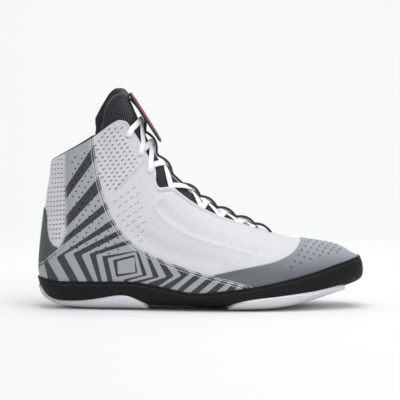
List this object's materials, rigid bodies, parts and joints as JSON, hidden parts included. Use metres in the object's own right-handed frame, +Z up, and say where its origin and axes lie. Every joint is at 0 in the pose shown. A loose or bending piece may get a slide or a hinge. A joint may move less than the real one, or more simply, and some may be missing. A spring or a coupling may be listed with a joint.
{
  "type": "wrestling shoe",
  "caption": "High-cut wrestling shoe for the right foot: knitted upper laced up the front, flap over the laces, wrap-around rubber cup, ribbed pods under heel and forefoot.",
  "frame": {"origin": "middle of the bounding box, on the floor that the sole stands on", "axes": "+X from heel to toe, -Y to the outer side of the foot, +Z up from the floor to the collar"},
  "size_m": [0.2866, 0.0985, 0.1893],
  "materials": {
    "knit": "matte off-white knit",
    "cup_rubber": "matte black rubber",
    "pod_rubber": "satin off-white rubber with fine ribs",
    "lining_cloth": "brushed black lining cloth",
    "tongue_mesh": "black ribbed mesh with a grey padded rim",
    "panel_film": "satin film with light and dark grey stripes",
    "counter_film": "dark green-grey grained film",
    "toe_suede": "grey synthetic suede with small dimples",
    "lace": "white flat woven lace",
    "webbing": "black woven webbing",
    "cover_cloth": "black padded cloth",
    "stripe_film": "plain red printed stripe"
  },
  "bodies": {
    "root": {"upper": "knit", "outsole": "cup_rubber", "heel_pod": "pod_rubber", "forefoot_pod": "pod_rubber", "insole": "lining_cloth", "tongue": "tongue_mesh", "collar_lining": "lining_cloth", "side_panel": "panel_film", "heel_counter": "counter_film", "toe_cap": "toe_suede", "lace_crossing_1": "lace", "lace_crossing_2": "lace", "lace_crossing_3": "lace", "lace_crossing_4": "lace", "lace_crossing_5": "lace", "lace_crossing_6": "lace", "lace_crossing_7": "lace", "lace_crossing_8": "lace", "lace_keeper": "webbing", "lace_cover": "cover_cloth", "lace_cover_stripe": "stripe_film"}
  },
  "joints": []
}
